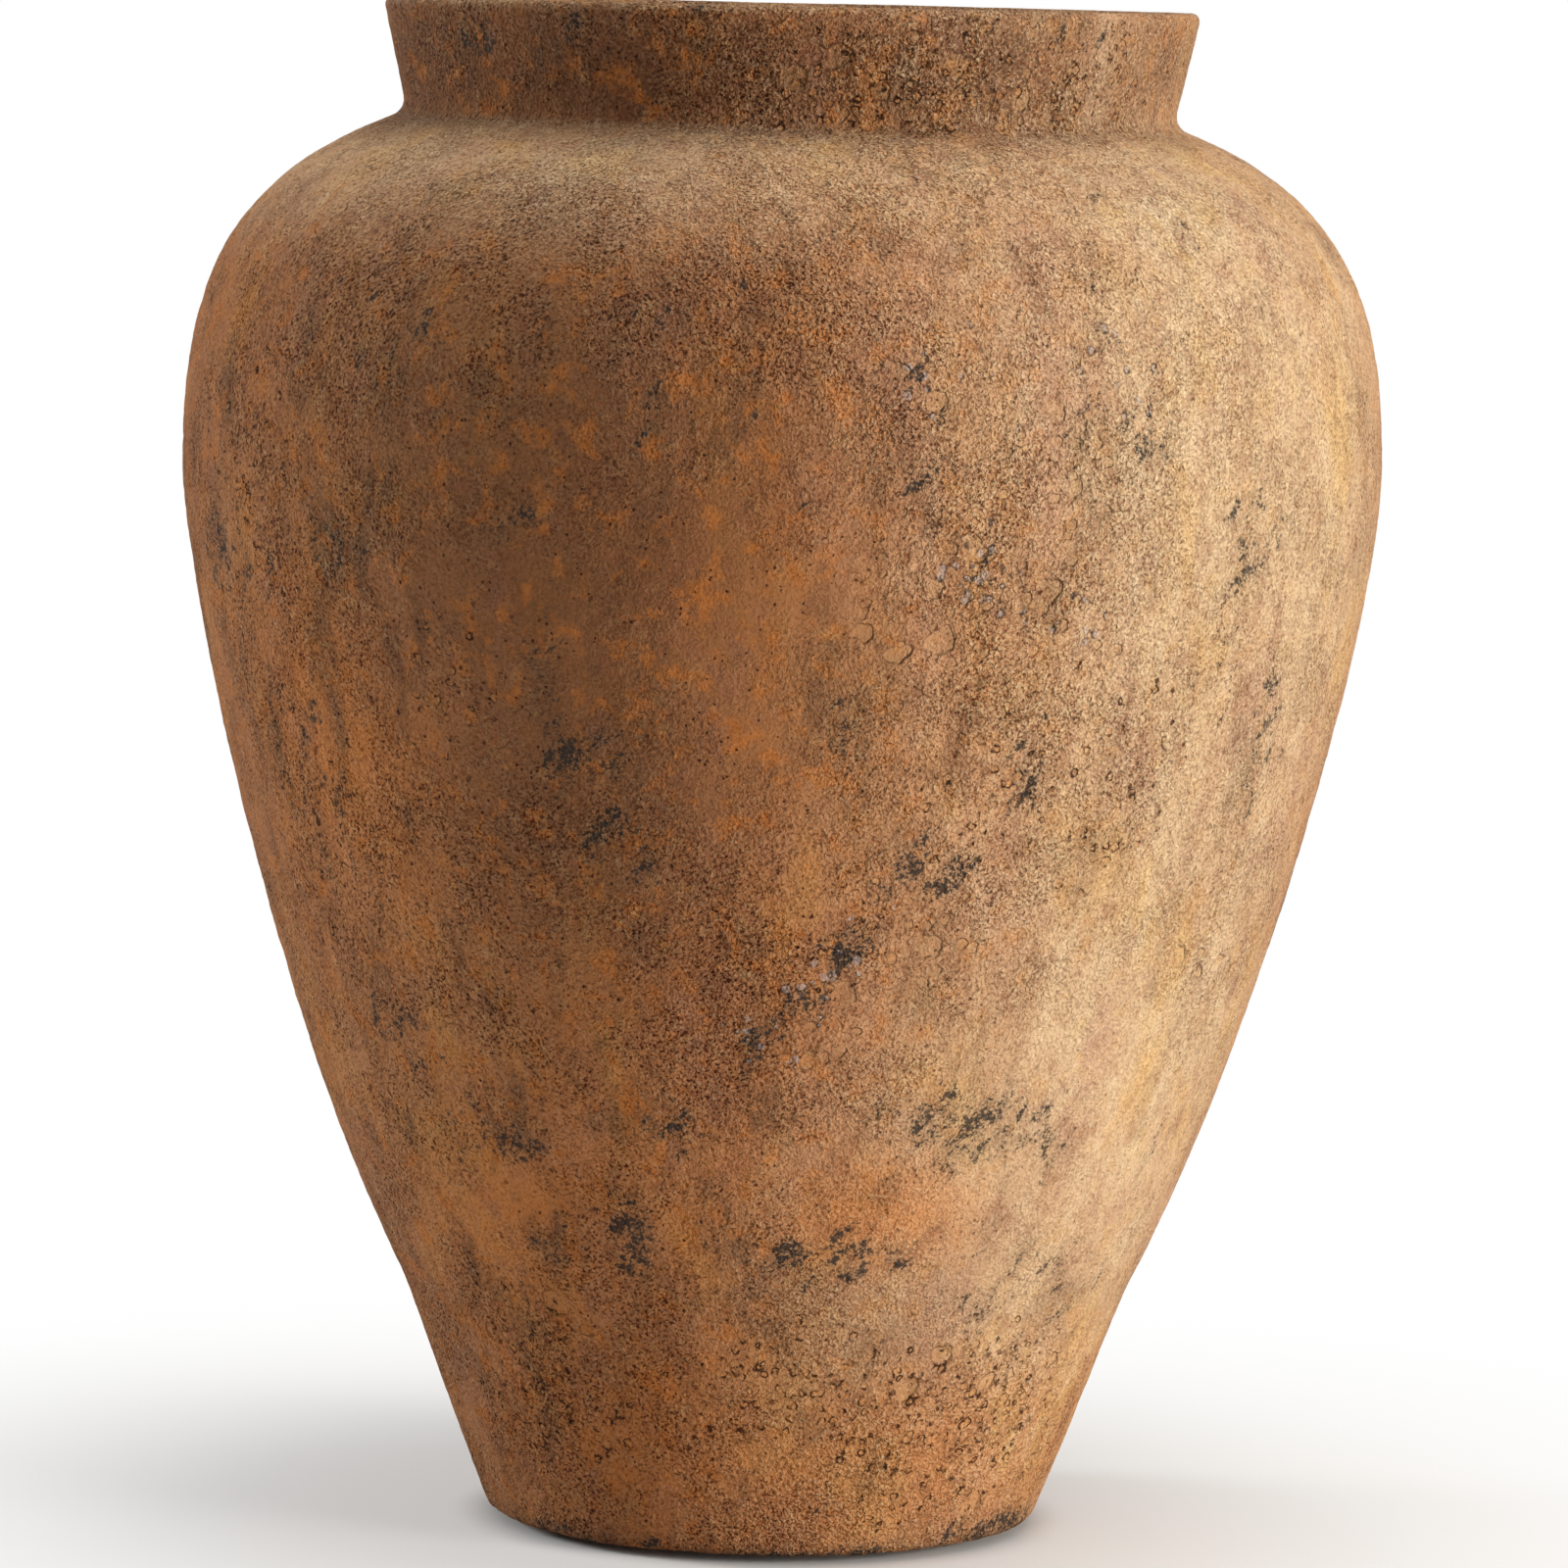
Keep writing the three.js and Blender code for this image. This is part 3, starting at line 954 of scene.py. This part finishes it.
def add_blisters(g, f, point):
    """Burst blisters and the smaller blebs among them, froth, and the scabs of the crust."""
    floor, f.rim, outline = blister_field(g, point, g.times(f.blister, BLISTER_SHARE), BLISTER_SIZE)
    blebs = blister_field(g, point, g.times(f.blister, BLEB_SHARE), BLEB_SIZE)
    froth = blister_field(g, point, g.times(f.froth, FROTH_SHARE), FROTH_SIZE, THICK_LINE, FROTH_RAGGED)
    scabs = blister_field(g, point, g.times(f.crust, SCAB_SHARE), SCAB_SIZE, THICK_LINE)
    bleb_floor, f.bleb_rim, bleb_outline = blebs
    f.froth_floor, f.froth_rim, f.froth_outline = froth
    f.scab_floor, _, f.scab_outline = scabs
    f.floor = g.math("MAXIMUM", floor, bleb_floor)
    f.outline = g.math("MAXIMUM", outline, bleb_outline)


def add_roughness(g, f, point):
    """How rough the clay is, smoother where it is worn or a blister has burst, and its pits and pricks."""
    smoothed = g.add(g.times(f.worn, 0.6), g.times(f.floor, 0.4))
    coarse = g.step(g.noise(point, COARSE_SIZE, 4, 0.6), 0.38, 0.6)
    coarse = g.scaled(g.math("MAXIMUM", coarse, g.times(f.dust, 0.6)), 0.55, 1.15)
    f.rough = g.times(g.math("MAXIMUM", g.less(1.0, smoothed), 0.25), coarse)
    f.pits = clay_pits(g, point)
    f.pricks = pit_field(g, point, crowding(g, point, PRICK_CROWD, PRICK_SHARE), PRICK_SIZE)


def add_soot(g, f, point):
    """Slanting clouds of soot, and the dark flecks that the grain has caught of it."""
    flecks = g.noise(point, SOOT_FLECK, 3, 0.65, 0.4)
    turned = g.node("ShaderNodeVectorRotate", {"Vector": point, "Angle": SMEAR_SLANT}, rotation_type="Y_AXIS")
    smeared = g.vector("MULTIPLY", turned.outputs[0], SMEAR_STRETCH)
    clouds = g.noise(g.wandered(smeared, 14 * MM, 7 * MM), SOOT_CLOUD, 6, 0.75)
    strewn = g.step(g.noise(point, SOOT_STREW, 3, 0.65), 0.5, 0.7)
    f.cluster = g.step(g.add(clouds, g.times(f.soot, 0.17), g.times(strewn, 0.06)), 0.59, 0.8)
    caught = g.add(g.times(flecks, 0.75), g.times(g.less(1.0, f.grain), 0.25))
    f.smut = g.step(g.add(caught, g.times(f.cluster, 0.25)), 0.65, 0.77)


def clay_fields(g, mottle, dust):
    """Every field that the clay's colour and fine relief are made of."""
    f = SimpleNamespace()
    point = shader_attribute(g, "clay_point", "Vector")
    for name in MARKS:
        setattr(f, name, shader_attribute(g, name, "Fac"))
    add_stains(g, f, point, mottle)
    add_dust_and_painted_light(g, f, point, dust)
    add_blisters(g, f, point)
    add_roughness(g, f, point)
    add_soot(g, f, point)
    return f


def clay_colour(g, f):
    """Earth tones, dust and painted light first, then what darkens them, partly painted shade in the hollows,
    then scabs and soot on top.
    """
    # Share of painted highlights on the grain's tops, most where dust and the painted light lie.
    painted_glint_share = g.times(f.rough, g.scaled(f.dust, 0.25, 1.0))
    # Share of the grain's dark hollows, strongest on bare clay: partly the clay's own darker grain, partly
    # painted shade in the hollows.
    dark_grain_and_painted_shade = g.times(f.rough, g.scaled(f.dust, 1.0, 0.5))
    thin = g.scaled(f.dust, 1.0, 0.4)
    colour = layered(g, srgb("#b0764b"), [
        (g.step(f.patches, 0.4, 0.62), 0.5, "#a86a42"),
        (g.step(f.drift, 0.5, 0.7), 0.6, "#c48748"),
        (g.step(f.drift, 0.48, 0.28), 0.6, "#85573c"),
        # Pale sand: settled dust, and the painted light of the lit right side and lip top.
        (f.dust, 0.95, "#d4b48e"),
        (f.rust, 0.6, "#cf8040"),
        (g.times(g.step(f.tone, 0.52, 0.68), f.dust), 0.5, "#d9ab62"),
        (g.times(g.step(f.tone, 0.48, 0.32), g.scaled(f.dust, 0.4, 1.0)), 0.45, "#b98a72"),
        # Smoky darkening, partly painted shade on the neck, at its root and along the foot.
        (f.smoke, 0.6, "#70482f"),
        (g.times(g.step(f.stain, 0.5, 0.68), thin), 0.65, "#654733"),
        (g.step(f.stain, 0.46, 0.3), 0.35, "#80564a"),
        (g.times(g.step(f.runs, 0.52, 0.7), f.dust), 0.35, "#ecd2ac"),
        (g.step(f.runs, 0.48, 0.3), 0.3, "#9a6844"),
        (g.times(g.step(f.hue, 0.52, 0.7), f.dust), 0.45, "#d3aa70"),
        (g.times(g.step(f.hue, 0.5, 0.68), f.bare), 0.65, "#bd7030"),
        (g.step(f.hue, 0.48, 0.3), 0.4, "#955d3e"),
        (g.times(g.step(f.mottle, 0.54, 0.76), f.rough), 0.3, "#d0a068"),
        (f.froth_floor, 0.35, "#c98a4e"),
        (g.times(f.floor, g.scaled(f.dust, 0.3, 1.0)), 0.35, "#b8905f"),
        (f.cluster, 0.35, "#65533f"),
        # Painted highlights: cream glints on the tops of the grain.
        (g.times(g.step(f.grain, 0.5, 0.7), painted_glint_share), 0.5, "#f0d6ac"),
    ])
    # Multiplied darkening of the hollows of the mottle, grain and creases, and of pits, pricks and blister
    # outlines: partly the clay's own darker grain and dirt, partly painted shade in these hollows.
    colour = layered(g, colour, [
        (g.times(g.step(f.mottle, 0.47, 0.24), f.rough), 0.5, "#b59684"),
        (g.times(g.step(f.wrinkles, 0.48, 0.28), f.rough, g.scaled(f.blister, 0.5, 0.9)), 0.8, "#a58068"),
        (g.times(g.step(f.grain, 0.5, 0.29), dark_grain_and_painted_shade), 1.0, "#7a5842"),
        (g.times(f.pits, thin), 0.5, "#6a4a3a"),
        (g.times(f.pricks, thin), 0.9, "#6a4a3a"),
        (f.outline, 0.35, "#806048"),
        (f.froth_outline, 0.9, "#4d3122"),
    ], "MULTIPLY")
    return layered(g, colour, [
        (f.scab_floor, 0.45, "#b9aaa4"),
        (f.scab_outline, 0.8, "#3a3330"),
        (f.smut, 0.86, "#2d2b2a"),
    ])


def clay_height(g, f):
    """The clay's fine relief in millimetres."""
    creases = g.times(f.wrinkles, g.scaled(f.blister, 0.9, 2.0))
    fine = g.times(g.add(g.times(f.grain, 1.8), g.times(creases, 1.1), g.times(f.mottle, 0.6)), f.rough)
    raised = g.add(fine, g.times(f.rim, 0.15), g.times(g.add(f.bleb_rim, f.froth_rim), 0.3))
    holes = g.times(g.math("MAXIMUM", f.pits, f.pricks), 0.4)
    return g.less(raised, g.add(holes, g.times(f.froth_outline, 0.8), g.times(f.floor, 0.1)))


def clay_material(mottle, dust):
    material, g, shader = new_material("weathered_terracotta", 0.85)
    f = clay_fields(g, mottle, dust)
    g.feed(shader.inputs["Base Color"], clay_colour(g, f))
    g.feed(shader.inputs["Roughness"], g.scaled(f.mottle, 0.98, 0.7))
    shader.inputs["Specular IOR Level"].default_value = 0.1
    bumped(g, shader, clay_height(g, f), 1 * MM)
    return material


def glaze_material(mottle, dust):
    material, g, shader = new_material("brown_sealing_glaze", 0.35)
    point = shader_attribute(g, "clay_point", "Vector")
    speckled = mottled(g, mottle, point, patch_size=40 * MM, speck_size=1.6 * MM)
    pooled = speckled["Patches"]
    settled = settled_dust(g, dust, point, GLAZE_DUST)
    crackle = g.cells(g.wandered(point, 6 * MM, 3 * MM), 7 * MM, "DISTANCE_TO_EDGE").outputs[0]
    crazed = g.step(crackle, 0.035, 0.0)
    colour = layered(g, srgb("#4c301f"), [
        (g.step(pooled, 0.35, 0.65), 1.0, "#7b5034"),
        (g.step(speckled["Specks"], 0.6, 0.72), 0.5, "#2c1b12"),
        (crazed, 0.6, "#2a1a11"),
        (settled, 0.5, "#a88d70"),
    ])
    g.feed(shader.inputs["Base Color"], colour)
    g.feed(shader.inputs["Roughness"], g.add(g.scaled(pooled, 0.25, 0.55), g.times(settled, 0.5)))
    shader.inputs["Specular IOR Level"].default_value = 0.3
    shader.inputs["Specular Tint"].default_value = srgb("#f0d8c0")
    bumped(g, shader, g.less(g.times(pooled, 0.4), g.times(crazed, 0.08)), 1 * MM)
    return material


def felt_material(mottle):
    material, g, shader = new_material("pressed_felt", 0.95)
    point = g.wandered(g.node("ShaderNodeTexCoord").outputs["Object"], 2 * MM, 2 * MM)
    fibres = mottled(g, mottle, point, patch_size=4 * MM, speck_size=0.5 * MM)
    colour = layered(g, srgb("#241f1b"), [
        (g.step(fibres["Specks"], 0.35, 0.65), 1.0, "#4d463e"),
        (g.step(fibres["Patches"], 0.5, 0.7), 0.4, "#5d564c"),
    ])
    g.feed(shader.inputs["Base Color"], colour)
    shader.inputs["Sheen Weight"].default_value = 0.1
    bumped(g, shader, fibres["Specks"], 0.3 * MM)
    return material


# Pieces


def dressed(piece, slot, *nodes):
    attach(piece, "root")
    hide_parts(*nodes)


def clay_pieces(material):
    sections = {
        "floor_disc": slab_section(),
        "foot_wall": foot_section(),
        "waist_wall": ring_section(foot_seam, waist_seam),
        "belly_wall": ring_section(waist_seam, belly_seam),
        "shoulder_wall": ring_section(belly_seam, neck_seam),
        "neck_collar": ring_section(neck_seam, lip_seam),
        "rim_lip": lip_section(),
    }
    tree = weathered_relief(material)
    for node, section in sections.items():
        mesh = turned_mesh(node, section, RING_SEGMENTS)
        for name, marks in MARKS.items():
            keep_values(mesh, name, mark_values(mesh, marks))
        dressed(grown(f"clay_{node}", mesh, tree, RELIEF_SIZES), "terracotta", node)


def lining_piece(material):
    mesh = turned_mesh("inner_glaze", lining_section(), GLAZE_SEGMENTS)
    dressed(grown("glaze_lining", mesh, thrown_rings(material), RING_SIZES), "inner_glaze", "inner_glaze")


def pad_mesh(node):
    low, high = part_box(node)
    radius = (high.x - low.x) / 2 - FIBRE_LENGTH
    top_edge = rounded_corner(np.array([radius, high.z]), UP, INWARDS, PAD_ROUNDING, 5)
    low_edge = rounded_corner(np.array([radius, low.z]), OUTWARDS, UP, PAD_ROUNDING, 5)
    places = np.concatenate([[[0, low.z]], low_edge, top_edge, [[0, high.z]]])
    mesh = turned_mesh(node, [Point(*place) for place in places], PAD_SEGMENTS)
    mesh.transform(Matrix.Translation(((low.x + high.x) / 2, (low.y + high.y) / 2, 0)))
    return mesh


def felt_pieces(material):
    tree = felt_fuzz(material)
    for node in ("felt_pad_1", "felt_pad_2", "felt_pad_3", "felt_pad_4"):
        dressed(grown(f"felt_{node}", pad_mesh(node), tree, FUZZ_SIZES), "felt", node)


# Stage


def floor_stage():
    """A pale floor that keeps the shadow, and shows white to the camera further out."""
    mesh = bpy.data.meshes.new("floor")
    corners = [(FLOOR_REACH * x, FLOOR_REACH * y, 0) for x, y in ((-1, -1), (1, -1), (1, 1), (-1, 1))]
    mesh.from_pydata(corners, [], [(0, 1, 2, 3)])
    material, g, shader = new_material("pale_floor", 0.9)
    shader.inputs["Base Color"].default_value = srgb("#f2f0ec")
    shader.inputs["Specular IOR Level"].default_value = 0.1
    point = g.node("ShaderNodeTexCoord").outputs["Object"]
    away = g.node("ShaderNodeVectorMath", {0: point}, operation="LENGTH").outputs["Value"]
    beyond = g.scaled(g.step(away, CONTACT_OUTER, WHITE_FROM), NEAR_WHITE, 1.0)
    white = g.times(g.step(away, CONTACT_INNER, CONTACT_OUTER), beyond)
    far = g.times(white, g.node("ShaderNodeLightPath").outputs["Is Camera Ray"])
    glow = g.node("ShaderNodeEmission", {"Strength": 1.0})
    blend = g.node("ShaderNodeMixShader", {0: far, 1: shader.outputs[0], 2: glow.outputs[0]})
    g.feed(g.tree.nodes["Material Output"].inputs["Surface"], blend.outputs[0])
    mesh.materials.append(material)
    floor = added("floor", mesh)


def white_world():
    """Soft light from all round, and plain white behind the jar."""
    world = bpy.data.worlds.new("white_studio")
    bpy.context.scene.world = world
    world.use_nodes = True
    g = Graph(world.node_tree)
    soft = g.tree.nodes["Background"]
    soft.inputs["Color"].default_value = AMBIENT_COLOUR
    soft.inputs["Strength"].default_value = AMBIENT_STRENGTH
    white = g.node("ShaderNodeBackground", {"Color": (1.0, 1.0, 1.0, 1.0), "Strength": 1.0})
    rays = g.node("ShaderNodeLightPath").outputs
    seen = g.math("MAXIMUM", rays["Is Camera Ray"], rays["Is Transmission Ray"])
    seen = g.math("MAXIMUM", seen, rays["Is Glossy Ray"])
    blend = g.node("ShaderNodeMixShader", {0: seen, 1: soft.outputs[0], 2: white.outputs[0]})
    g.feed(g.tree.nodes["World Output"].inputs["Surface"], blend.outputs[0])


def aimed(place, target):
    return (Vector(target) - Vector(place)).to_track_quat("-Z", "Y")


def soft_lights():
    for name, lamp in LAMPS.items():
        data = bpy.data.lights.new(name, "AREA")
        data.size = lamp.size
        data.energy = lamp.power
        data.color = lamp.colour
        light = added(name, data)
        light.location = lamp.place
        light.rotation_mode = "QUATERNION"
        light.rotation_quaternion = aimed(lamp.place, LAMP_AIM)


def photo_camera():
    data = bpy.data.cameras.new("photo_camera")
    data.sensor_width = SENSOR_MM
    data.lens = SENSOR_MM * FOCAL_PIXELS / FRAME_PIXELS
    camera = added("photo_camera", data)
    camera.location = CAMERA_PLACE
    camera.rotation_mode = "QUATERNION"
    level = aimed(CAMERA_PLACE, AIM_POINT).to_matrix()
    camera.rotation_quaternion = (level @ Matrix.Rotation(CAMERA_ROLL, 3, "Z")).to_quaternion()
    bpy.context.scene.camera = camera


def build():
    bpy.context.scene.view_settings.view_transform = "Standard"
    photo_camera()
    white_world()
    soft_lights()
    floor_stage()
    mottle = mottle_group()
    dust = dust_group()
    clay_pieces(clay_material(mottle, dust))
    lining_piece(glaze_material(mottle, dust))
    felt_pieces(felt_material(mottle))


build()
